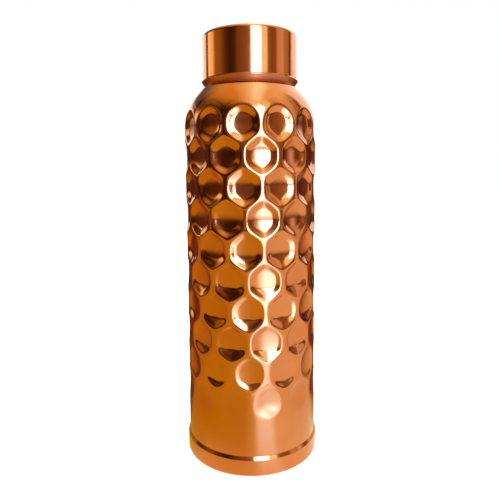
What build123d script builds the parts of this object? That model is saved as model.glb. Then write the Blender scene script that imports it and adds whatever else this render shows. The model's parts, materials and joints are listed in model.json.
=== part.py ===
"""Copper water bottle with a honeycomb of pressed dimples and a screw cap.

Millimetres, +Z up the bottle's axis, origin at the centre of the foot it stands on, front
towards -Y. Three pieces make the vessel: a dimpled body shell, a base cup pushed over its
lower end and a threaded collar round its neck. Four make the cap: a drawn copper shell, a
threaded liner, a packing disc and a seal. The cap is drawn closed, in mesh with the collar.
"""

import os
from math import cos, radians, sin, sqrt

from build123d import *

# ---- Driving dimensions ----
TOTAL_HEIGHT = 248.4
BODY_RADIUS = 38.8  # plain wall, and the ridges left between the dimples
SHEET = 0.7  # copper sheet of the body

# Base cup
CUP_SHEET = 1.0
BAND_HEIGHT = 9.3  # top of the full-width band
BAND_TOP = 11.3  # where its tapered upper edge meets the wall
TAPER_BULGE = 0.06  # how far that tapered edge bows out
BAND_ROUND = 0.5  # where the band turns into the taper
BASE_CORNER = 1.2
FOOT_WIDTH = 4.4  # flat ring the bottle stands on
FLOOR_RISE = 3.0  # height of the recessed floor over the foot
SOLDER_GAP = 0.5  # under the body's cut edge, inside the cup

# Shoulder: an arc, then a straight cone up to a ledge round the neck
SHOULDER_Z = 195.7
SHOULDER_ARC = 27.0
SHOULDER_SWEEP = 40.8  # degrees turned by the arc
LEDGE_Z = 217.3
LEDGE_BLEND = 1.2
NECK_BLEND = 0.8

# Dimples, in rows that stagger by half a column
COLUMNS = 12
ROWS = 10
FIRST_ROW_Z = 194.9
ROW_PITCH = 17.13
FIRST_DIMPLE_ANGLE = 23.6  # from the front towards +X
ROW_TWIST = 0.6  # degrees each row is turned past the even stagger
DIMPLE_RADIUS = 9.2  # measured over the wall
DIMPLE_DEPTH = 2.3
LAST_ROW_DEPTH = 1.4
BUTTON_RADIUS = 9.9  # of the cutting tool, less than half the dimple spacing
BUTTON_RISE = 2.0  # how far that tool stands out of the wall

# Neck and collar
STUB_RADIUS = 22.8
STUB_TOP = 241.4
MOUTH_Z = 243.25
COLLAR_RADIUS = 23.8
RIM_ROUND = 0.6

# Two-start thread, the same ridge on the collar and, turned inwards, in the liner
STARTS = 2
LEAD = 8.4
THREAD_TURNS = 1.25
THREAD_HEIGHT = 1.0
THREAD_BASE = 2.4
THREAD_TIP = 1.2
THREAD_Z = 225.0  # height at which the collar's ridges start
THREAD_GAP = 0.3  # radial gap between each crest and the root that faces it
THREAD_BITE = 0.3  # how far a ridge is sunk into the wall that carries it

# Cap
CAP_RADIUS = 28.2
CAP_SHEET = 0.6
CAP_CORNER = 2.0
LIP_RADIUS = 28.5
LIP_Z = 221.8
LIP_CORNER = 0.6  # height over which the wall flares to the lip
LIP_ROUND = 0.3
LIP_EDGE_RADIUS = 25.3
LIP_EDGE_Z = 217.7
LIP_STEP = 0.9  # height of the lip's cut edge
PACKING_THICKNESS = 1.5
LINER_PLATE = 1.4
LINER_BOTTOM = 221.8
SEAL_THICKNESS = 1.6
SEAL_WIDTH = 4.3
SEAL_SLACK = 0.3  # radial room between the seal and the liner
SEAL_ROUND = 0.3

# ---- Worked out from them ----
BAND_RADIUS = BODY_RADIUS + CUP_SHEET
MOUTH_BORE = STUB_RADIUS - SHEET
LINER_BORE = COLLAR_RADIUS + THREAD_HEIGHT + THREAD_GAP
CAP_BORE = CAP_RADIUS - CAP_SHEET
CAP_CEILING = TOTAL_HEIGHT - CAP_SHEET
LINER_TOP = CAP_CEILING - PACKING_THICKNESS
SEAL_TOP = LINER_TOP - LINER_PLATE
SEAL_RADIUS = LINER_BORE - SEAL_SLACK


def vessel_blank(inset, bottom, top):
    """Undimpled bottle, from the open lower end to the mouth, with its surface sunk by inset."""
    radius = BODY_RADIUS - inset
    neck = STUB_RADIUS - inset
    ledge = LEDGE_Z - inset
    arc_centre = BODY_RADIUS - SHOULDER_ARC
    arc_radius = SHOULDER_ARC - inset
    turn = radians(SHOULDER_SWEEP)
    arc_end = (arc_centre + arc_radius * cos(turn), SHOULDER_Z + arc_radius * sin(turn))
    cone_run = (ledge - arc_end[1]) * sin(turn) / cos(turn)
    ledge_corner = (arc_end[0] - cone_run, ledge)
    neck_corner = (neck, ledge)
    with BuildPart() as blank:
        with BuildSketch(Plane.XZ) as outline:
            with BuildLine():
                Polyline((neck, ledge), (neck, top), (0, top), (0, bottom), (radius, bottom))
                Line((radius, bottom), (radius, SHOULDER_Z))
                CenterArc((arc_centre, SHOULDER_Z), arc_radius, 0, SHOULDER_SWEEP)
                Polyline(arc_end, ledge_corner, neck_corner)
            make_face()
            corners = outline.vertices()
            fillet(corners.sort_by_distance((*ledge_corner, 0))[0], LEDGE_BLEND - inset)
            corners = outline.vertices()
            fillet(corners.sort_by_distance((*neck_corner, 0))[0], NECK_BLEND + inset)
        revolve(axis=Axis.Z)
    return blank.part


def dimple_tool(depth, inset):
    """Button that presses one dimple at +X, its bowl-shaped face grown by inset.

    The bowl is a barrel standing upright outside the wall. Its two radii differ, so that the
    rim it leaves on the round wall is the same DIMPLE_RADIUS up, down and to the sides.
    """
    floor = BODY_RADIUS - depth
    rim_angle = DIMPLE_RADIUS / BODY_RADIUS
    upright_radius = (DIMPLE_RADIUS**2 + depth**2) / (2 * depth)
    rim_chord = BODY_RADIUS * cos(rim_angle)
    level_radius = (floor**2 + BODY_RADIUS**2 - 2 * floor * rim_chord) / (2 * (rim_chord - floor))
    barrel_axis = floor + level_radius
    button_radius = BUTTON_RADIUS * (BODY_RADIUS - inset) / BODY_RADIUS
    arc_radius = upright_radius + inset
    arc_reach = sqrt(arc_radius**2 - BUTTON_RADIUS**2)
    arc_end = floor + upright_radius - arc_reach
    with BuildPart() as tool:
        with BuildSketch(Plane.XZ):
            with BuildLine():
                ThreePointArc(
                    (arc_end, -BUTTON_RADIUS), (floor - inset, 0), (arc_end, BUTTON_RADIUS)
                )
                Polyline(
                    (arc_end, BUTTON_RADIUS),
                    (barrel_axis, BUTTON_RADIUS),
                    (barrel_axis, -BUTTON_RADIUS),
                    (arc_end, -BUTTON_RADIUS),
                )
            make_face()
        revolve(axis=Axis((barrel_axis, 0, 0), (0, 0, 1)))
        with BuildSketch(Plane.YZ.offset(floor - 2 * SHEET)):
            Circle(button_radius)
        extrude(amount=depth + 2 * SHEET + BUTTON_RISE, mode=Mode.INTERSECT)
    return tool.part


def dimple_places(rows):
    """Where the dimples of these rows go, as turns and lifts of one that faces +X."""
    half_column = 180 / COLUMNS
    places = []
    for row in rows:
        first = FIRST_DIMPLE_ANGLE - 90 + row * (half_column + ROW_TWIST)
        for column in range(COLUMNS):
            azimuth = first + column * 2 * half_column
            places.append(Location((0, 0, FIRST_ROW_Z - row * ROW_PITCH), (0, 0, azimuth)))
    return places


def thread_ridges(wall_radius, outward, bottom, turned):
    """Helical ridges for a wall of this radius; outward is 1 on a stud and -1 in a nut."""
    foot = wall_radius - outward * THREAD_BITE
    crest = wall_radius + outward * THREAD_HEIGHT
    flank = (THREAD_BASE - THREAD_TIP) / 2 / THREAD_HEIGHT
    foot_half = THREAD_BASE / 2 + flank * THREAD_BITE
    tip_half = THREAD_TIP / 2
    with BuildPart() as ridge:
        with BuildLine():
            Helix(LEAD, LEAD * THREAD_TURNS, wall_radius, center=(0, 0, bottom))
        with BuildSketch(Plane.XZ):
            with BuildLine():
                Polyline(
                    (foot, bottom - foot_half),
                    (crest, bottom - tip_half),
                    (crest, bottom + tip_half),
                    (foot, bottom + foot_half),
                    close=True,
                )
            make_face()
        sweep(is_frenet=True)
    with BuildPart() as ridges:
        with PolarLocations(0, STARTS, start_angle=turned):
            add(ridge.part)
    return ridges.part


# ---- Body shell: the dimples show on both faces of the sheet, so the cavity has them too ----
OUTSIDE = vessel_blank(0, CUP_SHEET + SOLDER_GAP, STUB_TOP)
INSIDE = vessel_blank(SHEET, 0, STUB_TOP + 1)

with BuildPart() as cavity:
    add(INSIDE)
    with Locations(*dimple_places(range(ROWS - 1))):
        add(dimple_tool(DIMPLE_DEPTH, SHEET), mode=Mode.SUBTRACT)
    with Locations(*dimple_places([ROWS - 1])):
        add(dimple_tool(LAST_ROW_DEPTH, SHEET), mode=Mode.SUBTRACT)

with BuildPart() as body_shell:
    add(OUTSIDE)
    with Locations(*dimple_places(range(ROWS - 1))):
        add(dimple_tool(DIMPLE_DEPTH, 0), mode=Mode.SUBTRACT)
    with Locations(*dimple_places([ROWS - 1])):
        add(dimple_tool(LAST_ROW_DEPTH, 0), mode=Mode.SUBTRACT)
    add(cavity.part, mode=Mode.SUBTRACT)

# ---- Base cup ----
FOOT_INNER = BAND_RADIUS - BASE_CORNER - FOOT_WIDTH
FLOOR_RADIUS = FOOT_INNER - FLOOR_RISE

with BuildPart() as base_cup:
    with BuildSketch(Plane.XZ) as outline:
        with BuildLine():
            Polyline(
                (0, FLOOR_RISE),
                (FLOOR_RADIUS, FLOOR_RISE),
                (FOOT_INNER, 0),
                (BAND_RADIUS, 0),
                (BAND_RADIUS, BAND_HEIGHT),
            )
            SagittaArc((BAND_RADIUS, BAND_HEIGHT), (BODY_RADIUS, BAND_TOP), TAPER_BULGE)
            Polyline(
                (BODY_RADIUS, BAND_TOP),
                (BODY_RADIUS, CUP_SHEET),
                (FOOT_INNER + CUP_SHEET / 2, CUP_SHEET),
                (FLOOR_RADIUS + CUP_SHEET / 2, FLOOR_RISE + CUP_SHEET),
                (0, FLOOR_RISE + CUP_SHEET),
                (0, FLOOR_RISE),
            )
        make_face()
        corners = outline.vertices()
        fillet(corners.sort_by_distance((BAND_RADIUS, 0, 0))[0], BASE_CORNER)
        corners = outline.vertices()
        fillet(corners.sort_by_distance((BAND_RADIUS, BAND_HEIGHT, 0))[0], BAND_ROUND)
    revolve(axis=Axis.Z)

# ---- Neck collar: sits on the ledge, hooks over the stub and forms the mouth ----
with BuildPart() as neck_collar:
    with BuildSketch(Plane.XZ) as outline:
        with BuildLine():
            Polyline(
                (STUB_RADIUS, LEDGE_Z + NECK_BLEND),
                (STUB_RADIUS + NECK_BLEND, LEDGE_Z),
                (COLLAR_RADIUS, LEDGE_Z),
                (COLLAR_RADIUS, MOUTH_Z),
                (MOUTH_BORE, MOUTH_Z),
                (MOUTH_BORE, STUB_TOP),
                (STUB_RADIUS, STUB_TOP),
                close=True,
            )
        make_face()
        fillet(outline.vertices().group_by(Axis.Y)[-1], RIM_ROUND)
    revolve(axis=Axis.Z)
    add(thread_ridges(COLLAR_RADIUS, 1, THREAD_Z, 0))

# ---- Cap shell: its lip is rolled in under the liner ----
LIP_SLOPE = (LIP_Z - LIP_EDGE_Z) / (LIP_RADIUS - LIP_EDGE_RADIUS)
LIP_INSIDE_Z = LIP_EDGE_Z + LIP_STEP + (CAP_BORE - LIP_EDGE_RADIUS) * LIP_SLOPE

with BuildPart() as cap_shell:
    with BuildSketch(Plane.XZ) as outline:
        with BuildLine():
            Polyline(
                (0, TOTAL_HEIGHT),
                (CAP_RADIUS, TOTAL_HEIGHT),
                (CAP_RADIUS, LIP_Z + LIP_CORNER),
                (LIP_RADIUS, LIP_Z),
                (LIP_EDGE_RADIUS, LIP_EDGE_Z),
                (LIP_EDGE_RADIUS, LIP_EDGE_Z + LIP_STEP),
                (CAP_BORE, LIP_INSIDE_Z),
                (CAP_BORE, CAP_CEILING),
                (0, CAP_CEILING),
                close=True,
            )
        make_face()
        corners = outline.vertices()
        fillet(corners.sort_by_distance((CAP_RADIUS, TOTAL_HEIGHT, 0))[0], CAP_CORNER)
        corners = outline.vertices()
        fillet(corners.sort_by_distance((CAP_BORE, CAP_CEILING, 0))[0], CAP_CORNER - CAP_SHEET)
        corners = outline.vertices()
        fillet(corners.sort_by_distance((LIP_RADIUS, LIP_Z, 0))[0], LIP_ROUND)
    revolve(axis=Axis.Z)

# ---- Threaded liner ----
with BuildPart() as cap_liner:
    with BuildSketch(Plane.XZ) as outline:
        with BuildLine():
            Polyline(
                (0, LINER_TOP),
                (CAP_BORE, LINER_TOP),
                (CAP_BORE, LINER_BOTTOM),
                (LINER_BORE, LINER_BOTTOM),
                (LINER_BORE, SEAL_TOP),
                (0, SEAL_TOP),
                close=True,
            )
        make_face()
    revolve(axis=Axis.Z)
    add(thread_ridges(LINER_BORE, -1, THREAD_Z, 180 / STARTS))

# ---- Packing disc, between the liner and the shell's flat top ----
with BuildPart() as cap_packing:
    with Locations((0, 0, LINER_TOP)):
        Cylinder(
            CAP_BORE - CAP_CORNER,
            PACKING_THICKNESS,
            align=(Align.CENTER, Align.CENTER, Align.MIN),
        )

# ---- Seal: a washer against the liner's ceiling, over the mouth's rim ----
with BuildPart() as cap_seal:
    with BuildSketch(Plane.XY.offset(SEAL_TOP)):
        Circle(SEAL_RADIUS)
        Circle(SEAL_RADIUS - SEAL_WIDTH, mode=Mode.SUBTRACT)
    extrude(amount=-SEAL_THICKNESS)
    fillet(cap_seal.edges(), SEAL_ROUND)

# ---- Export ----
os.makedirs("parts", exist_ok=True)
pieces = {
    "body_shell": body_shell,
    "base_cup": base_cup,
    "neck_collar": neck_collar,
    "cap_shell": cap_shell,
    "cap_liner": cap_liner,
    "cap_packing": cap_packing,
    "cap_seal": cap_seal,
}
for name, piece in pieces.items():
    piece.part.label = name
    export_step(piece.part, f"parts/{name}.step")
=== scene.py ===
"""Looks of the copper water bottle: smooth meshes over the CAD frame, materials, light, camera."""

import json
import math

import bpy
import numpy as np
from mathutils import Euler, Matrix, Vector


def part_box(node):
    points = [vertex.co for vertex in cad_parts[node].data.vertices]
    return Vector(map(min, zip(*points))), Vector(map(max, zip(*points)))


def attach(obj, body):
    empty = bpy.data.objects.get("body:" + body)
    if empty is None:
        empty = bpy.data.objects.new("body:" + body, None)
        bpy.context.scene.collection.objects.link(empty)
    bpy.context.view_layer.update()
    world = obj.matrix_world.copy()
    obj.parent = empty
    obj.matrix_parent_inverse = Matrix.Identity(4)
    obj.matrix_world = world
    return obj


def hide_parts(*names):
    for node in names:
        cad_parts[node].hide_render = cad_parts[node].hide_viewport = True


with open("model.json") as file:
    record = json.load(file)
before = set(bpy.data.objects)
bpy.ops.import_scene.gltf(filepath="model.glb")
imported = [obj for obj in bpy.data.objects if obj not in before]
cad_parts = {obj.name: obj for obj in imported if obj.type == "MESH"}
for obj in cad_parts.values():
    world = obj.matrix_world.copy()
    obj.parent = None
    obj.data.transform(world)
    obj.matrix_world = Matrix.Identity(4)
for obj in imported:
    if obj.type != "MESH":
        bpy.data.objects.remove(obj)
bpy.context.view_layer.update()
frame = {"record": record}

MM = 0.001


# ---- Sizes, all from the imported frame, in metres ----
def radius_of(node):
    """Widest radius of a CAD node about the bottle's axis."""
    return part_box(node)[1].x


def span_of(node):
    """Lowest and highest z of a CAD node."""
    low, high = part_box(node)
    return low.z, high.z


WALL = radius_of("body_shell")  # plain wall and ridge tops
BODY_BOTTOM, STUB_TOP = span_of("body_shell")
BAND = radius_of("base_cup")
BAND_TOP = span_of("base_cup")[1]
COLLAR_BOTTOM, MOUTH = span_of("neck_collar")
CREST = radius_of("neck_collar")
LINER_OUTER = radius_of("cap_liner")
LINER_BOTTOM, LINER_TOP = span_of("cap_liner")
LIP_EDGE, CAP_TOP = span_of("cap_shell")
LIP = radius_of("cap_shell")
SEAL_BOTTOM, SEAL_TOP = span_of("cap_seal")
SEAL = radius_of("cap_seal")
PACKING = radius_of("cap_packing")
LEAD = frame["record"]["behaviour"]["couplings"][0]["ratio"] * 2 * math.pi

SHEET = 0.7 * MM  # of the body
AROUND = 576  # mesh steps round the dimpled shell
AROUND_PLAIN = AROUND // 2  # round a piece without dimples
AROUND_HIDDEN = AROUND // 3  # round a plain piece inside the cap


# ---- Camera ----
CAMERA_PLACE = (-0.44 * MM, -296.2 * MM, 167.7 * MM)
CAMERA_TILT = math.radians(5.35)
CAMERA_ROLL = math.radians(-0.4)


def make_camera():
    """Camera level with the upper rows of dimples, looking a little down."""
    data = bpy.data.cameras.new("camera")
    data.lens = 35.04
    data.sensor_width = 36
    data.shift_y = -0.06
    data.clip_start = 0.01
    data.clip_end = 50
    camera = bpy.data.objects.new("camera", data)
    bpy.context.scene.collection.objects.link(camera)
    camera.location = CAMERA_PLACE
    tilted = Euler((math.pi / 2 - CAMERA_TILT, 0, 0)).to_matrix()
    rolled = tilted @ Euler((0, 0, CAMERA_ROLL)).to_matrix()
    camera.rotation_euler = rolled.to_euler()
    bpy.context.scene.camera = camera


make_camera()


# ---- Mesh tools ----
GUARD = 0.15 * MM  # from an arc's end to the point that keeps the straight run flat


def round_corners(corners, steps=10):
    """Outline points of (r, z, radius) corners, each corner turned into an arc of that radius.

    A point just before and after each arc keeps the straight runs straight when shaded smooth.
    """
    points = []
    for index, (r, z, radius) in enumerate(corners):
        here = np.array((r, z))
        if radius == 0 or index in (0, len(corners) - 1):
            points.append(here)
            continue
        back = np.array(corners[index - 1][:2]) - here
        ahead = np.array(corners[index + 1][:2]) - here
        back_dir = back / np.linalg.norm(back)
        ahead_dir = ahead / np.linalg.norm(ahead)
        half = math.acos(np.clip(back_dir @ ahead_dir, -1, 1)) / 2
        reach = radius / math.tan(half)
        bisector = (back_dir + ahead_dir) / np.linalg.norm(back_dir + ahead_dir)
        centre = here + bisector * radius / math.sin(half)
        start = here + back_dir * reach - centre
        end = here + ahead_dir * reach - centre
        if np.linalg.norm(back) > reach + 2 * GUARD:
            points.append(here + back_dir * (reach + GUARD))
        sweep = math.atan2(start[0] * end[1] - start[1] * end[0], start @ end)
        for step in range(steps + 1):
            turn = sweep * step / steps
            cos, sin = math.cos(turn), math.sin(turn)
            points.append(
                centre + (start[0] * cos - start[1] * sin, start[0] * sin + start[1] * cos)
            )
        if np.linalg.norm(ahead) > reach + 2 * GUARD:
            points.append(here + ahead_dir * (reach + GUARD))
    return np.array(points)


def spin(name, path, around=AROUND, closed=True, relief=None):
    """Surface of revolution through path points (r, z); relief(r, z, azimuth) may change r.

    A closed path gives a ring. An open path starts and ends on the axis and gives a solid.
    """
    path = np.asarray(path, float)
    if not closed:
        poles = path[[0, -1]]
        path = path[1:-1]
    count = len(path)
    azimuth = np.arange(around) * 2 * math.pi / around
    r = np.repeat(path[:, 0][:, None], around, axis=1)
    z = np.repeat(path[:, 1][:, None], around, axis=1)
    if relief is not None:
        r = relief(r, z, np.repeat(azimuth[None, :], count, axis=0))
    verts = np.stack((r * np.cos(azimuth), r * np.sin(azimuth), z), axis=2).reshape(-1, 3)
    rows = np.arange(count if closed else count - 1)
    here = rows[:, None] * around + np.arange(around)[None, :]
    right = rows[:, None] * around + (np.arange(around)[None, :] + 1) % around
    step = ((rows + 1) % count)[:, None] * around
    above = step + np.arange(around)[None, :]
    above_right = step + (np.arange(around)[None, :] + 1) % around
    faces = np.stack((here, right, above_right, above), axis=2).reshape(-1, 4).tolist()
    if not closed:
        first, last = len(verts), len(verts) + 1
        ends = [(0, 0, poles[0][1]), (0, 0, poles[1][1])]
        verts = np.concatenate((verts, ends))
        top = (count - 1) * around
        for k in range(around):
            following = (k + 1) % around
            faces.append([first, following, k])
            faces.append([last, top + k, top + following])
    mesh = bpy.data.meshes.new(name)
    mesh.from_pydata(verts.tolist(), [], faces)
    mesh.update()
    for polygon in mesh.polygons:
        polygon.use_smooth = True
    piece = bpy.data.objects.new(name, mesh)
    bpy.context.scene.collection.objects.link(piece)
    return piece


def finish_piece(piece, body, node, slot, *materials):
    """Gives a piece its materials and its body, and hides the CAD node that it stands for."""
    for material in materials:
        piece.data.materials.append(material)
    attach(piece, body)
    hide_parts(node)


def steps_between(start, end, step):
    """Evenly spaced values from start to end, both included, about step apart."""
    return np.linspace(start, end, max(2, round(abs(end - start) / step) + 1))


def smooth_step(value):
    """0 below 0, 1 above 1, and an S-curve between."""
    value = np.clip(value, 0, 1)
    return value * value * (3 - 2 * value)


# ---- Node tools ----
def new_material(name):
    """A material with its node tree emptied but for a Principled shader and the output."""
    material = bpy.data.materials.new(name)
    material.use_nodes = True
    nodes = material.node_tree.nodes
    nodes.clear()
    shader = nodes.new("ShaderNodeBsdfPrincipled")
    output = nodes.new("ShaderNodeOutputMaterial")
    material.node_tree.links.new(shader.outputs["BSDF"], output.inputs["Surface"])
    return material, shader


def add_noise(tree, scale, detail=4.0, stretch=(1, 1, 1)):
    """Noise texture in object space, stretched along the axes; returns its value output."""
    coords = tree.nodes.new("ShaderNodeTexCoord")
    mapping = tree.nodes.new("ShaderNodeMapping")
    mapping.inputs["Scale"].default_value = stretch
    noise = tree.nodes.new("ShaderNodeTexNoise")
    noise.inputs["Scale"].default_value = scale
    noise.inputs["Detail"].default_value = detail
    tree.links.new(coords.outputs["Object"], mapping.inputs["Vector"])
    tree.links.new(mapping.outputs["Vector"], noise.inputs["Vector"])
    return noise.outputs["Fac"]


def add_ramp(tree, value, stops):
    """Colour ramp over a value; stops are (position, colour)."""
    ramp = tree.nodes.new("ShaderNodeValToRGB")
    elements = ramp.color_ramp.elements
    while len(elements) > 1:
        elements.remove(elements[-1])
    for index, (position, colour) in enumerate(stops):
        element = elements[0] if index == 0 else elements.new(position)
        element.position = position
        element.color = (*colour, 1)
    tree.links.new(value, ramp.inputs["Fac"])
    return ramp.outputs["Color"]


def add_range(tree, value, low, high):
    """Value mapped from its usual noise range to low..high."""
    scaled = tree.nodes.new("ShaderNodeMapRange")
    scaled.inputs["From Min"].default_value = 0.3
    scaled.inputs["From Max"].default_value = 0.7
    scaled.inputs["To Min"].default_value = low
    scaled.inputs["To Max"].default_value = high
    tree.links.new(value, scaled.inputs["Value"])
    return scaled.outputs["Result"]


def add_bump(tree, shader, height, distance, strength):
    """Bumps the shader's normal by a height value."""
    bump = tree.nodes.new("ShaderNodeBump")
    bump.inputs["Distance"].default_value = distance
    bump.inputs["Strength"].default_value = strength
    tree.links.new(height, bump.inputs["Height"])
    tree.links.new(bump.outputs["Normal"], shader.inputs["Normal"])


def add_math(tree, operation, *values):
    """One math node; values are sockets or numbers."""
    node = tree.nodes.new("ShaderNodeMath")
    node.operation = operation
    for index, value in enumerate(values):
        if isinstance(value, (int, float)):
            node.inputs[index].default_value = value
        else:
            tree.links.new(value, node.inputs[index])
    return node.outputs[0]


def add_gap(tree, value, place):
    """How far a value is from a place, either way."""
    return add_math(tree, "ABSOLUTE", add_math(tree, "SUBTRACT", value, place))


def add_ease(tree, value, start, end):
    """0 where value is at start, 1 where it is at end, and an S-curve between."""
    node = tree.nodes.new("ShaderNodeMapRange")
    node.interpolation_type = "SMOOTHSTEP"
    node.inputs["From Min"].default_value = start
    node.inputs["From Max"].default_value = end
    tree.links.new(value, node.inputs["Value"])
    return node.outputs["Result"]


def add_mix(tree, factor, first, second):
    """Colour mix from first to second by factor; the colours are sockets or tuples."""
    node = tree.nodes.new("ShaderNodeMix")
    node.data_type = "RGBA"
    tree.links.new(factor, node.inputs["Factor"])
    for socket, value in ((node.inputs[6], first), (node.inputs[7], second)):
        if isinstance(value, tuple):
            socket.default_value = (*value, 1)
        else:
            tree.links.new(value, socket)
    return node.outputs[2]


# ---- Materials ----
def polished_copper(name, rough_low, rough_high, bright, dark, coat):
    """Copper with slow colour drift, uneven polish and fine hand-polishing waviness."""
    material, shader = new_material(name)
    tree = material.node_tree
    shader.inputs["Metallic"].default_value = 1.0
    shader.inputs["Coat Weight"].default_value = coat
    shader.inputs["Coat Roughness"].default_value = 0.08
    drift = add_noise(tree, 35, detail=5)
    colour = add_ramp(tree, drift, ((0.3, dark), (0.7, bright)))
    tree.links.new(colour, shader.inputs["Base Color"])
    polish = add_noise(tree, 220, detail=8, stretch=(1, 1, 0.35))
    roughness = add_range(tree, polish, rough_low, rough_high)
    tree.links.new(roughness, shader.inputs["Roughness"])
    waviness = add_noise(tree, 90, detail=2)
    add_bump(tree, shader, waviness, 0.02 * MM, 0.5)
    return material


COPPER = polished_copper(
    "polished_copper", 0.09, 0.15, (0.68, 0.225, 0.07), (0.60, 0.18, 0.045), coat=0.7
)
LIP_COPPER = polished_copper(
    "satin_copper_lip", 0.34, 0.42, (0.60, 0.23, 0.12), (0.52, 0.18, 0.08), coat=0.1
)
BARE_COPPER = polished_copper(
    "bare_copper_inside", 0.22, 0.36, (0.70, 0.28, 0.10), (0.55, 0.20, 0.07), coat=0.0
)


def matte_material(name, pale, dark, roughness, grain, grain_depth):
    """Non-metal with slow colour drift, uneven sheen and fine grain."""
    material, shader = new_material(name)
    tree = material.node_tree
    drift = add_noise(tree, 60)
    colour = add_ramp(tree, drift, ((0.3, dark), (0.7, pale)))
    tree.links.new(colour, shader.inputs["Base Color"])
    sheen = add_noise(tree, 300, detail=3)
    uneven = add_range(tree, sheen, roughness - 0.07, roughness + 0.07)
    tree.links.new(uneven, shader.inputs["Roughness"])
    add_bump(tree, shader, add_noise(tree, grain, detail=3), grain_depth, 0.6)
    return material, shader


def moulded_plastic():
    """Off-white plastic of the liner."""
    material, shader = matte_material(
        "moulded_plastic", (0.84, 0.81, 0.74), (0.76, 0.72, 0.64), 0.42, 900, 0.03 * MM
    )
    shader.inputs["Subsurface Weight"].default_value = 0.1
    shader.inputs["Subsurface Scale"].default_value = 1 * MM
    return material


def packing_board():
    """Grainy white board of the packing disc."""
    material, _ = matte_material(
        "packing_board", (0.88, 0.87, 0.83), (0.78, 0.76, 0.70), 0.85, 1500, 0.08 * MM
    )
    return material


def silicone():
    """Milky, slightly see-through rubber of the seal."""
    material, shader = matte_material(
        "milky_silicone", (0.85, 0.85, 0.82), (0.76, 0.76, 0.72), 0.5, 700, 0.02 * MM
    )
    shader.inputs["Subsurface Weight"].default_value = 0.4
    shader.inputs["Subsurface Scale"].default_value = 2 * MM
    return material


# ---- Body shell: dimples in the places that the CAD has them ----
COLUMNS, ROWS = 12, 10
FIRST_ROW = 194.9 * MM  # height of the top row's centres
ROW_PITCH = 17.13 * MM
ROW_STEP = math.radians(15.6)  # half a column and a little twist
FIRST_AZIMUTH = math.radians(23.6 - 90)
DIMPLES_FROM, DIMPLES_TO = 29 * MM, 206 * MM  # heights between which the mesh is fine
FLOOR_CURVE = 45 * MM  # radius of the bowls' floors
FLOOR_FLAT = 5.8 * MM  # how far from its centre a floor starts to steepen
FLOOR_STEEPENING = 36  # per metre
FLOOR_BLEND = 0.5 * MM
SHOULDER_SHARE = 0.75  # how much of the shoulder's fall the top row's floors follow
CELL_RADIUS = 9.4 * MM  # usual distance from a cell's centre to its ridge
CELL_REACH = 13 * MM  # beyond this, a point of the wall is in no cell
CORNER_RADIUS = 11.2 * MM  # of the circle that rounds a cell's corners
END_CORNER_RADIUS = 10 * MM  # for the outer sides of the first and last rows
CORNER_SOFTNESS = 0.36 * MM
RIDGE_HALF = 0.3 * MM
RIDGE_SOFTNESS = 0.16 * MM
LAST_RIDGE_SOFTNESS = 0.5 * MM
FADE_FROM = -11 * MM  # below its centre, where a dimple of the last row starts
FADE_SPAN = 12 * MM  # from there up to its full depth
SHOULDER = 195.7 * MM
SHOULDER_ARC = 27 * MM
SHOULDER_SWEEP = math.radians(40.8)
NECK = CREST - 2 * MM
LEDGE = COLLAR_BOTTOM


def by_row(rows, values):
    """One length for each row of dimples, from values in mm at some rows, evened out between."""
    return np.interp(np.arange(ROWS), rows, np.array(values) * MM)


ROW_DEPTH = by_row((0, 3, 7, 8, 9), (2.85, 2.75, 2.35, 1.7, 1.5))
# From the ridge's middle to where the bowl's floor takes over
FLANK_WIDTH = by_row((0, 3, 5, 7), (4.7, 4.5, 3.3, 2.8))
# How much wider it is at the lower side, where the lower rows' bowls come up more gently
LOW_FLANK = by_row((3, 5, 7, 8, 9), (0, 3.6, 4.8, 2.8, 0))
rng = np.random.default_rng(7)
DEPTHS = ROW_DEPTH[:, None] + rng.uniform(-0.1, 0.1, (ROWS, COLUMNS)) * MM
LEAN_UP = rng.normal(0, 0.012, (ROWS, COLUMNS))
LEAN_ASIDE = rng.normal(0, 0.012, (ROWS, COLUMNS))


def wall_radius(z):
    """Radius of the undimpled outside at height z, up to the ledge."""
    arc_centre = WALL - SHOULDER_ARC
    arc_top = SHOULDER + SHOULDER_ARC * math.sin(SHOULDER_SWEEP)
    over = np.clip(z - SHOULDER, 0, SHOULDER_ARC)
    arc = arc_centre + np.sqrt(SHOULDER_ARC**2 - over**2)
    cone_start = arc_centre + SHOULDER_ARC * math.cos(SHOULDER_SWEEP)
    cone = cone_start - (z - arc_top) * math.tan(SHOULDER_SWEEP)
    return np.where(z < SHOULDER, WALL, np.where(z < arc_top, arc, cone))


def ridge_distance(along, up, row):
    """How far a point of a cell is from the ridge round it; (along, up) is from the centre.

    The sides are half way to the six neighbours. A circle stands in for those that the first
    and last rows lack, and rounds the corners of the rest.
    """
    level = WALL * 2 * math.pi / COLUMNS
    lead = WALL * ROW_STEP
    lag = level - lead
    outer = ((row == 0) & (up > 0)) | ((row == ROWS - 1) & (up < 0))
    corner = np.where(outer, END_CORNER_RADIUS, CORNER_RADIUS)
    total = np.exp((np.hypot(along, up) - corner) / CORNER_SOFTNESS)
    sides = (
        (level, 0, True),
        (-level, 0, True),
        (-lead, ROW_PITCH, row > 0),
        (lag, ROW_PITCH, row > 0),
        (lead, -ROW_PITCH, row < ROWS - 1),
        (-lag, -ROW_PITCH, row < ROWS - 1),
    )
    for side_along, side_up, present in sides:
        span = math.hypot(side_along, side_up)
        distance = span / 2 - (along * side_along + up * side_up) / span
        total += np.where(present, np.exp(-distance / CORNER_SOFTNESS), 0)
    return -CORNER_SOFTNESS * np.log(total)


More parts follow.
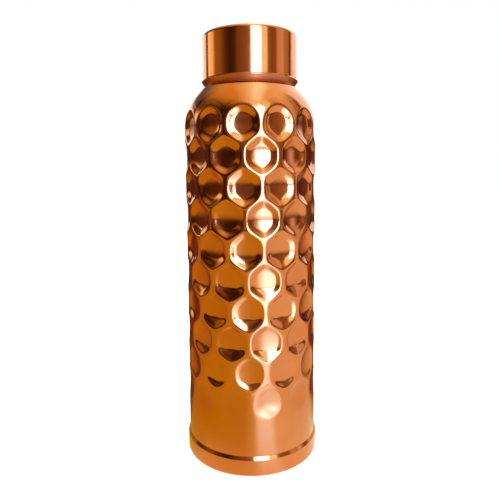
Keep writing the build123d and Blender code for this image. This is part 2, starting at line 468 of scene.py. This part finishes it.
def bowl_floor(row, column, across, up, fall):
    """Distance of a bowl's floor from the axis; fall is how far the wall itself is inside WALL."""
    punch = np.hypot(across, up)
    return (
        WALL
        - DEPTHS[row, column]
        + punch**2 / (2 * FLOOR_CURVE)
        + FLOOR_STEEPENING * np.clip(punch - FLOOR_FLAT, 0, None) ** 2
        + LEAN_UP[row, column] * up
        + LEAN_ASIDE[row, column] * across
        - SHOULDER_SHARE * fall
    )


def press_dimple(r, row, column, aside, up):
    """Radius r of the wall with one row's dimples pressed in, at (aside, up) of their centres."""
    across = WALL * np.sin(aside)
    punch = np.hypot(across, up)
    drop = r - bowl_floor(row, column, across, up, WALL - r) / np.cos(aside)
    drop = (drop + np.sqrt(drop**2 + FLOOR_BLEND**2)) / 2

    inward = ridge_distance(WALL * aside, up, row)
    inward = CELL_RADIUS * inward / (inward + punch)
    below = np.clip(-up / (punch + 0.1 * MM), 0, 1) ** 2
    flank = FLANK_WIDTH[row] + LOW_FLANK[row] * below
    edge = np.clip((flank - inward) / (flank - RIDGE_HALF), 0, None) ** 2
    bowl = r - drop * (1 - edge)

    soft = np.where(row == ROWS - 1, LAST_RIDGE_SOFTNESS, RIDGE_SOFTNESS)
    gap = np.clip(1 - np.abs(bowl - r) / (2 * soft), 0, 1)
    pressed = np.minimum(bowl, r) - gap**2 * soft / 2
    pressed = np.where(np.hypot(WALL * aside, up) > CELL_REACH, r, pressed)
    fade = np.where(row == ROWS - 1, smooth_step((up - FADE_FROM) / FADE_SPAN), 1)
    return r - (r - pressed) * fade


def dimpled_radius(r, z, azimuth):
    """Outside radius with the dimples pressed in; r is the undimpled radius there.

    Each point takes the nearer of the dimples in the row above and the row below it.
    """
    row_near = (FIRST_ROW - z) / ROW_PITCH
    best = np.full(r.shape, np.inf)
    result = r.copy()
    for offset in (0, 1):
        row = np.clip(np.floor(row_near).astype(int) + offset, 0, ROWS - 1)
        turn = (azimuth - FIRST_AZIMUTH - row * ROW_STEP) * COLUMNS / (2 * math.pi)
        column = np.round(turn)
        aside = (turn - column) * 2 * math.pi / COLUMNS
        up = z - (FIRST_ROW - row * ROW_PITCH)
        away = np.hypot(WALL * aside, up)
        pressed = press_dimple(r, row, column.astype(int) % COLUMNS, aside, up)
        nearer = away < best
        best = np.where(nearer, away, best)
        result = np.where(nearer, pressed, result)
    return result


def make_body():
    """The dimpled sheet: up the outside, over the stub's edge and down the inside."""
    fine = steps_between(DIMPLES_FROM, DIMPLES_TO, 0.42 * MM)
    shoulder = steps_between(DIMPLES_TO, LEDGE - 0.9 * MM, 0.7 * MM)[1:]
    lower = steps_between(BODY_BOTTOM + 0.1 * MM, DIMPLES_FROM, 2 * MM)[:-1]
    heights = np.concatenate((lower, fine, shoulder))
    outside = np.stack((wall_radius(heights), heights), axis=1)
    ledge_r = float(wall_radius(np.array(LEDGE)))
    neck_outside = round_corners(
        (
            (*outside[-1], 0),
            (ledge_r, LEDGE, 0.9 * MM),
            (NECK, LEDGE, 0.8 * MM),
            (NECK, STUB_TOP, 0.15 * MM),
            (NECK - SHEET, STUB_TOP, 0.15 * MM),
            (NECK - SHEET, LEDGE - SHEET, 1.5 * MM),
            (ledge_r - SHEET / 2, LEDGE - SHEET, 0.4 * MM),
            (outside[-1][0] - SHEET, outside[-1][1] - SHEET / 2, 0),
        ),
        steps=6,
    )[1:]
    inner_heights = steps_between(DIMPLES_TO, DIMPLES_FROM, 1.5 * MM)
    inner_shoulder = steps_between(LEDGE - 2 * MM, DIMPLES_TO, 1.5 * MM)[:-1]
    inner_heights = np.concatenate((inner_shoulder, inner_heights, lower[::-1]))
    inside = np.stack((wall_radius(inner_heights) - SHEET, inner_heights), axis=1)
    path = np.concatenate((outside, neck_outside, inside))
    first_neck = len(outside)
    first_inside = first_neck + len(neck_outside)

    def relief(r, z, azimuth):
        pressed = r.copy()
        outer = slice(0, first_neck)
        pressed[outer] = dimpled_radius(r[outer], z[outer], azimuth[outer])
        inner = slice(first_inside, None)
        pressed[inner] = dimpled_radius(r[inner] + SHEET, z[inner], azimuth[inner]) - SHEET
        return pressed

    piece = spin("dimpled_shell", path, relief=relief)
    first_bare = (first_inside - len(neck_outside) // 2) * AROUND  # at the stub's edge
    slots = np.zeros(len(piece.data.polygons), int)
    slots[first_bare:] = 1
    finish_piece(piece, "bottle", "body_shell", "copper", COPPER, BARE_COPPER)
    piece.data.polygons.foreach_set("material_index", slots)


make_body()


# ---- Base cup ----
FOOT_WIDTH = 5.6 * MM  # of the ring the bottle stands on
FLOOR_RISE = 3 * MM  # how far the floor is above the table, and as wide a slope up to it
SEAM = 0.02 * MM  # between the cup's top edge and the wall


def make_base():
    """Cup with a straight band, a rounded step to the wall, a foot ring and a raised floor."""
    thick = BAND - WALL
    foot = BAND - FOOT_WIDTH
    floor_r = foot - FLOOR_RISE
    outline = round_corners(
        (
            (0, FLOOR_RISE, 0),
            (floor_r, FLOOR_RISE, 1 * MM),
            (foot, 0, 0.8 * MM),
            (BAND, 0, 1.2 * MM),
            (BAND, BAND_TOP - 2 * MM, 0.5 * MM),
            (WALL + 0.1 * thick, BAND_TOP - 0.1 * MM, 0.1 * MM),
            (WALL + SEAM, BAND_TOP, 0),
        )
    )
    inner = round_corners(
        (
            (WALL + SEAM, BAND_TOP - 0.05 * MM, 0),
            (WALL, thick, 0.3 * MM),
            (foot + 0.4 * MM, thick, 0.5 * MM),
            (floor_r + 0.4 * MM, FLOOR_RISE + thick, 0.8 * MM),
            (0, FLOOR_RISE + thick, 0),
        )
    )
    path = np.concatenate((outline, inner))
    piece = spin("base_band", path, closed=False, around=AROUND_PLAIN)
    finish_piece(piece, "bottle", "base_cup", "copper", COPPER)


make_base()


# ---- Cap shell ----
CAP_SHEET = 0.6 * MM
CAP_SIDE = LINER_OUTER + CAP_SHEET
LIP_TOP = 221.8 * MM
LIP_BORE = 25.3 * MM
LIP_INSIDE = LIP_EDGE + 0.9 * MM  # height of the lip's inner edge inside the cap


def make_cap():
    """Drawn cap with a rounded top edge and a lip rolled in under the liner."""
    slope = (LIP_TOP - LIP_EDGE) / (LIP - LIP_BORE)
    path = round_corners(
        (
            (0, CAP_TOP, 0),
            (CAP_SIDE, CAP_TOP, 2 * MM),
            (CAP_SIDE, LIP_TOP + 0.8 * MM, 0.4 * MM),
            (LIP, LIP_TOP + 0.1 * MM, 0.3 * MM),
            (LIP_BORE, LIP_EDGE, 0.25 * MM),
            (LIP_BORE, LIP_INSIDE, 0.25 * MM),
            (LINER_OUTER, LIP_INSIDE + (LINER_OUTER - LIP_BORE) * slope, 0.4 * MM),
            (LINER_OUTER, CAP_TOP - CAP_SHEET, 1.4 * MM),
            (0, CAP_TOP - CAP_SHEET, 0),
        )
    )[::-1]
    piece = spin("cap_cup", path, closed=False, around=AROUND_PLAIN)
    finish_piece(piece, "cap", "cap_shell", "copper", COPPER, LIP_COPPER)
    for polygon in piece.data.polygons:
        if polygon.center.z < LIP_TOP and polygon.normal.z < 0:
            polygon.material_index = 1


make_cap()


# ---- Screw thread, collar and liner ----
STARTS = 2
THREAD_BOTTOM = 225 * MM
THREAD_TURNS = 1.25
THREAD_FADE = 0.04  # of a turn, at each end
THREAD_HEIGHT = 1 * MM
THREAD_BASE = 2.4 * MM  # width of the ridge at the wall
THREAD_TIP = 1.2 * MM  # width of its crest
COLLAR = CREST - THREAD_HEIGHT
LINER_BORE = CREST + 0.3 * MM
SEAL_WIDTH = 4.3 * MM


def thread_height(z, azimuth, first_azimuth):
    """How far the ridges stand out of their wall at each point; they run out at both ends."""
    height = np.zeros(z.shape)
    rise = (z - THREAD_BOTTOM) / LEAD
    for start in range(STARTS):
        begun = (azimuth - first_azimuth) / (2 * math.pi) - start / STARTS
        turns = begun + np.round(rise - begun)
        off = np.abs(rise - turns) * LEAD
        ridge = np.clip((THREAD_BASE / 2 - off) / ((THREAD_BASE - THREAD_TIP) / 2), 0, 1)
        ends = smooth_step(np.minimum(turns, THREAD_TURNS - turns) / THREAD_FADE)
        height = np.maximum(height, ridge * ends * THREAD_HEIGHT)
    return height


def make_collar():
    """Collar that hooks over the neck stub, with the thread outside and a rounded mouth."""
    bore = NECK - SHEET
    thread_rows = steps_between(THREAD_BOTTOM - 2 * MM, MOUTH - 1.2 * MM, 0.2 * MM)
    mouth = round_corners(
        (
            (COLLAR, thread_rows[-1], 0),
            (COLLAR, MOUTH, 0.6 * MM),
            (bore, MOUTH, 0.6 * MM),
            (bore, STUB_TOP, 0),
            (NECK, STUB_TOP, 0),
            (NECK, LEDGE + 0.8 * MM, 0),
            (NECK + 0.8 * MM, LEDGE, 0),
            (COLLAR, LEDGE, 0),
        ),
        steps=6,
    )[1:]
    wall = np.stack((np.full(len(thread_rows), COLLAR), thread_rows), axis=1)
    threaded = slice(0, len(thread_rows))

    def relief(r, z, azimuth):
        result = r.copy()
        result[threaded] += thread_height(z[threaded], azimuth[threaded], 0)
        return result

    piece = spin("threaded_collar", np.concatenate((wall, mouth)), around=AROUND_PLAIN, relief=relief)
    finish_piece(piece, "bottle", "neck_collar", "collar", BARE_COPPER)


def make_liner():
    """Plastic cup inside the cap, with the thread turned inwards."""
    thread_rows = steps_between(LINER_BOTTOM + 0.8 * MM, SEAL_TOP - 1 * MM, 0.2 * MM)
    outside = round_corners(
        (
            (0, LINER_TOP, 0),
            (LINER_OUTER, LINER_TOP, 0.5 * MM),
            (LINER_OUTER, LINER_BOTTOM, 0.4 * MM),
            (LINER_BORE, LINER_BOTTOM, 0.4 * MM),
            (LINER_BORE, thread_rows[0], 0),
        ),
        steps=6,
    )[:-1]
    wall = np.stack((np.full(len(thread_rows), LINER_BORE), thread_rows), axis=1)
    ceiling = ((LINER_BORE, SEAL_TOP - 0.4 * MM), (LINER_BORE - 0.4 * MM, SEAL_TOP), (0, SEAL_TOP))
    path = np.concatenate((outside, wall, ceiling))[::-1]

    def relief(r, z, azimuth):
        inside = np.isclose(r, LINER_BORE, rtol=0, atol=1e-6)
        return r - np.where(inside, thread_height(z, azimuth, math.pi / STARTS), 0)

    piece = spin("threaded_liner", path, closed=False, around=AROUND_PLAIN, relief=relief)
    finish_piece(piece, "cap", "cap_liner", "liner", moulded_plastic())


def make_packing():
    """Disc that fills the room between the liner and the cap's flat top."""
    low, high = span_of("cap_packing")
    path = round_corners(
        (
            (0, low, 0),
            (PACKING, low, 0.2 * MM),
            (PACKING, high, 0.2 * MM),
            (0, high, 0),
        ),
        steps=4,
    )
    piece = spin("packing_disc", path, closed=False, around=AROUND_HIDDEN)
    finish_piece(piece, "cap", "cap_packing", "packing", packing_board())


def make_seal():
    """Soft washer that the mouth's rim presses on."""
    inner = SEAL - SEAL_WIDTH
    path = round_corners(
        (
            (inner, SEAL_BOTTOM + 0.8 * MM, 0),
            (inner, SEAL_BOTTOM, 0.3 * MM),
            (SEAL, SEAL_BOTTOM, 0.3 * MM),
            (SEAL, SEAL_TOP, 0.3 * MM),
            (inner, SEAL_TOP, 0.3 * MM),
            (inner, SEAL_BOTTOM + 0.9 * MM, 0),
        ),
        steps=6,
    )
    piece = spin("seal_washer", path, around=AROUND_HIDDEN)
    finish_piece(piece, "cap_lift", "cap_seal", "seal", silicone())


make_collar()
make_liner()
make_packing()
make_seal()


# ---- Surroundings ----
WHITE = (1.0, 0.96, 0.92)  # backdrop behind the bottle
EDGE = (0.08, 0.04, 0.03)  # the backdrop's dark edges
ROOM = (0.032, 0.014, 0.006)  # darkest part of the room, left of the camera
BEHIND = (0.07, 0.02, 0.012)  # low down behind the bottle
WINDOW = (4.0, 6.0, 10.0)
WINDOW_AZIMUTH, WINDOW_ELEVATION = 15.5, 14
UNDER_TABLE = (0.09, 0.05, 0.03)
SHADE = 0.92  # how much of the ROOM colour lies over the left above eye level

# Colours by azimuth in degrees, 0 on the camera's side and positive to the right
HIGH_BANDS = (
    (-180, WHITE),
    (-128, WHITE),
    (-125, EDGE),
    (-117, EDGE),
    (-115, (1.2, 1.2, 0.75)),
    (-97, (1.0, 0.9, 0.5)),
    (-90, (0.34, 0.2, 0.04)),
    (-75, (0.3, 0.18, 0.04)),
    (-60, (0.11, 0.055, 0.018)),
    (-48, (0.045, 0.022, 0.01)),
    (-36, (0.055, 0.03, 0.016)),
    (-27, (0.19, 0.1, 0.04)),
    (-10, (0.25, 0.14, 0.07)),
    (0, (0.26, 0.2, 0.15)),
    (3, (0.6, 0.6, 0.6)),
    (28, (1.0, 1.1, 1.0)),
    (40, (1.05, 1.6, 1.5)),
    (43, (0.35, 0.2, 0.06)),
    (52, (0.25, 0.14, 0.05)),
    (64, (0.26, 0.14, 0.04)),
    (68, (0.6, 0.5, 0.45)),
    (84, (0.7, 0.6, 0.5)),
    (90, (0.45, 0.32, 0.14)),
    (104, (0.42, 0.28, 0.12)),
    (107, EDGE),
    (113, EDGE),
    (116, WHITE),
    (180, WHITE),
)
LOW_BANDS = (
    (-180, BEHIND),
    (-130, BEHIND),
    (-118, (0.09, 0.04, 0.02)),
    (-75, (0.07, 0.03, 0.015)),
    (-60, (0.03, 0.012, 0.005)),
    (-40, (0.04, 0.018, 0.008)),
    (-20, (0.15, 0.08, 0.06)),
    (2, (0.14, 0.09, 0.1)),
    (8, (0.45, 0.35, 0.3)),
    (32, (0.5, 0.45, 0.35)),
    (42, (0.38, 0.22, 0.11)),
    (60, (0.2, 0.11, 0.05)),
    (78, (0.12, 0.07, 0.03)),
    (86, (0.8, 0.75, 0.7)),
    (95, (0.2, 0.1, 0.04)),
    (125, BEHIND),
    (180, BEHIND),
)
# Colours from the left of the ceiling, 0, to its right, 1
CEILING = (
    (0.0, (0.5, 0.33, 0.06)),
    (0.35, (0.72, 0.47, 0.1)),
    (0.43, (0.84, 0.74, 0.45)),
    (0.5, (0.98, 1.15, 0.85)),
    (0.55, (1.15, 1.7, 1.6)),
    (0.61, (1.1, 1.5, 1.3)),
    (0.67, (0.85, 0.8, 0.45)),
    (0.8, (0.9, 0.85, 0.5)),
    (1.0, (0.7, 0.55, 0.3)),
)


def turn_at(degrees):
    """Place of an azimuth on the scale of add_turn."""
    return degrees / 360 + 0.5


def height_at(degrees):
    """Place of an elevation on a scale from 0, straight down, to 1, straight up."""
    return degrees / 180 + 0.5


def add_place(tree, kind):
    """Texture coordinates of a kind, whole and as their x, y and z."""
    coords = tree.nodes.new("ShaderNodeTexCoord")
    split = tree.nodes.new("ShaderNodeSeparateXYZ")
    tree.links.new(coords.outputs[kind], split.inputs[0])
    return coords.outputs[kind], split.outputs


def add_turn(tree, x, y):
    """Azimuth of (x, y) from -180 degrees, 0, to 180 degrees, 1."""
    forward = add_math(tree, "MULTIPLY", y, -1.0)
    azimuth = add_math(tree, "ARCTAN2", x, forward)
    return add_math(tree, "MULTIPLY_ADD", azimuth, 0.5 / math.pi, 0.5)


def add_bands(tree, turn, bands):
    """Colour by azimuth."""
    return add_ramp(tree, turn, [(turn_at(degrees), colour) for degrees, colour in bands])


def add_surroundings(tree):
    """Colour of the room by direction: bands at two heights, a ceiling and a bright window."""
    _, (x, y, z) = add_place(tree, "Generated")
    turn = add_turn(tree, x, y)
    elevation = add_math(tree, "ARCSINE", z)
    height = add_math(tree, "MULTIPLY_ADD", elevation, 1 / math.pi, 0.5)
    low = add_bands(tree, turn, LOW_BANDS)
    high = add_bands(tree, turn, HIGH_BANDS)
    above_table = add_ease(tree, height, height_at(4), height_at(12))
    colour = add_mix(tree, above_table, low, high)

    above_eyes = add_ease(tree, height, height_at(16), height_at(26))
    left = add_ease(tree, turn, turn_at(-12), turn_at(-30))
    shade = add_math(tree, "MULTIPLY", above_eyes, left)
    shade = add_math(tree, "MULTIPLY", shade, SHADE)
    colour = add_mix(tree, shade, colour, ROOM)

    ceiling = add_ramp(tree, add_math(tree, "MULTIPLY_ADD", x, 0.5, 0.5), CEILING)
    overhead = add_ease(tree, height, height_at(31), height_at(62))
    colour = add_mix(tree, overhead, colour, ceiling)
    below_table = add_ease(tree, height, height_at(-3), height_at(-10))
    colour = add_mix(tree, below_table, colour, UNDER_TABLE)

    # The window has soft edges: from the outer half width to the inner one
    aside = add_gap(tree, turn, turn_at(WINDOW_AZIMUTH))
    across = add_ease(tree, aside, 14 / 360, 9 / 360)
    above = add_gap(tree, height, height_at(WINDOW_ELEVATION))
    upward = add_ease(tree, above, 31 / 180, 19 / 180)
    window = add_math(tree, "MULTIPLY", across, upward)
    return add_mix(tree, window, colour, WINDOW)


def make_world():
    """The room that the bottle mirrors. The camera itself sees plain white."""
    world = bpy.data.worlds.new("studio")
    bpy.context.scene.world = world
    world.use_nodes = True
    tree = world.node_tree
    tree.nodes.clear()
    room = tree.nodes.new("ShaderNodeBackground")
    tree.links.new(add_surroundings(tree), room.inputs["Color"])
    room.inputs["Strength"].default_value = 1.45
    backdrop = tree.nodes.new("ShaderNodeBackground")
    backdrop.inputs["Color"].default_value = (1, 1, 1, 1)
    path = tree.nodes.new("ShaderNodeLightPath")
    mix = tree.nodes.new("ShaderNodeMixShader")
    tree.links.new(path.outputs["Is Camera Ray"], mix.inputs["Fac"])
    tree.links.new(room.outputs[0], mix.inputs[1])
    tree.links.new(backdrop.outputs[0], mix.inputs[2])
    output = tree.nodes.new("ShaderNodeOutputWorld")
    tree.links.new(mix.outputs[0], output.inputs["Surface"])


# ---- Floor and table ----
TABLE_DARK = (0.2, 0.045, 0.015)
TABLE_BANDS = (
    (-180, TABLE_DARK),
    (-125, TABLE_DARK),
    (-108, (0.6, 0.29, 0.03)),
    (-85, (0.7, 0.42, 0.04)),
    (-60, (0.72, 0.5, 0.02)),
    (-10, (0.8, 0.58, 0.08)),
    (18, (1.15, 1.1, 0.8)),
    (40, (1.12, 1.06, 0.82)),
    (100, (1.02, 0.86, 0.55)),
    (116, (0.7, 0.38, 0.12)),
    (132, TABLE_DARK),
    (180, TABLE_DARK),
)
TABLE_CLOSE = (1.2, 1.0, 0.55)
TABLE_FAR_AWAY = (0.13, 0.07, 0.04)
SHINE_AZIMUTH = 18  # middle of the window's shine on the table
SHINE_NEAR, SHINE_FAR = (1.3, 1.7, 2.2), (3.0, 4.5, 8.0)


def disc(name, radius, z, sides=96):
    """Flat round sheet facing up, outside the object."""
    mesh = bpy.data.meshes.new(name)
    turns = np.linspace(0, 2 * math.pi, sides + 1)[:-1]
    rim = [(radius * math.cos(turn), radius * math.sin(turn), 0) for turn in turns]
    mesh.from_pydata(rim, [], [list(range(sides))])
    sheet = bpy.data.objects.new(name, mesh)
    bpy.context.scene.collection.objects.link(sheet)
    sheet.location.z = z
    return sheet


def make_floor():
    """Pale floor. The bottle mirrors the glowing table card just under it instead."""
    floor = disc("floor", 4.0, -0.2 * MM)
    material, shader = new_material("pale_floor")
    shader.inputs["Base Color"].default_value = (0.9, 0.89, 0.88, 1)
    shader.inputs["Roughness"].default_value = 0.9
    shader.inputs["Emission Color"].default_value = (1, 1, 1, 1)
    shader.inputs["Emission Strength"].default_value = 0.45
    floor.data.materials.append(material)
    floor.visible_glossy = False


def add_table_glow(tree):
    """Colour of the table by azimuth and by distance from the bottle's axis."""
    place, (x, y, _) = add_place(tree, "Object")
    turn = add_turn(tree, x, y)
    length = tree.nodes.new("ShaderNodeVectorMath")
    length.operation = "LENGTH"
    tree.links.new(place, length.inputs[0])
    distance = length.outputs["Value"]
    colour = add_bands(tree, turn, TABLE_BANDS)

    aside = add_gap(tree, turn, turn_at(SHINE_AZIMUTH))
    shine = add_ease(tree, aside, 17 / 360, 6 / 360)
    far = add_ease(tree, distance, 0.06, 0.36)
    colour = add_mix(tree, shine, colour, add_mix(tree, far, SHINE_NEAR, SHINE_FAR))

    close = add_ease(tree, distance, 0.085, 0.015)
    in_front = add_ease(tree, add_gap(tree, turn, turn_at(0)), 85 / 360, 50 / 360)
    close_in_front = add_math(tree, "MULTIPLY", close, in_front)
    colour = add_mix(tree, close_in_front, colour, TABLE_CLOSE)
    far_away = add_ease(tree, distance, 0.8, 1.9)
    return add_mix(tree, far_away, colour, TABLE_FAR_AWAY)


def make_table_card():
    """Light table that only reflections see: dim on the left, bright on the right."""
    card = disc("table_card", 2.5, -0.6 * MM)
    material = bpy.data.materials.new("table_glow")
    material.use_nodes = True
    tree = material.node_tree
    tree.nodes.clear()
    glow = tree.nodes.new("ShaderNodeEmission")
    tree.links.new(add_table_glow(tree), glow.inputs["Color"])
    output = tree.nodes.new("ShaderNodeOutputMaterial")
    tree.links.new(glow.outputs[0], output.inputs["Surface"])
    card.data.materials.append(material)
    card.visible_camera = False
    card.visible_diffuse = False
    card.visible_shadow = False


# ---- Light ----
def make_light():
    """One broad soft box overhead, a little to the right and behind."""
    data = bpy.data.lights.new("overhead", "AREA")
    data.shape = "RECTANGLE"
    data.size = 1.6
    data.size_y = 1.2
    data.energy = 20
    light = bpy.data.objects.new("overhead", data)
    bpy.context.scene.collection.objects.link(light)
    light.location = (0.1, 0.2, 1.3)
    light.rotation_euler = (math.radians(-8), math.radians(4), 0)
    light.visible_glossy = False


make_world()
make_floor()
make_table_card()
make_light()
bpy.context.scene.view_settings.view_transform = "Standard"
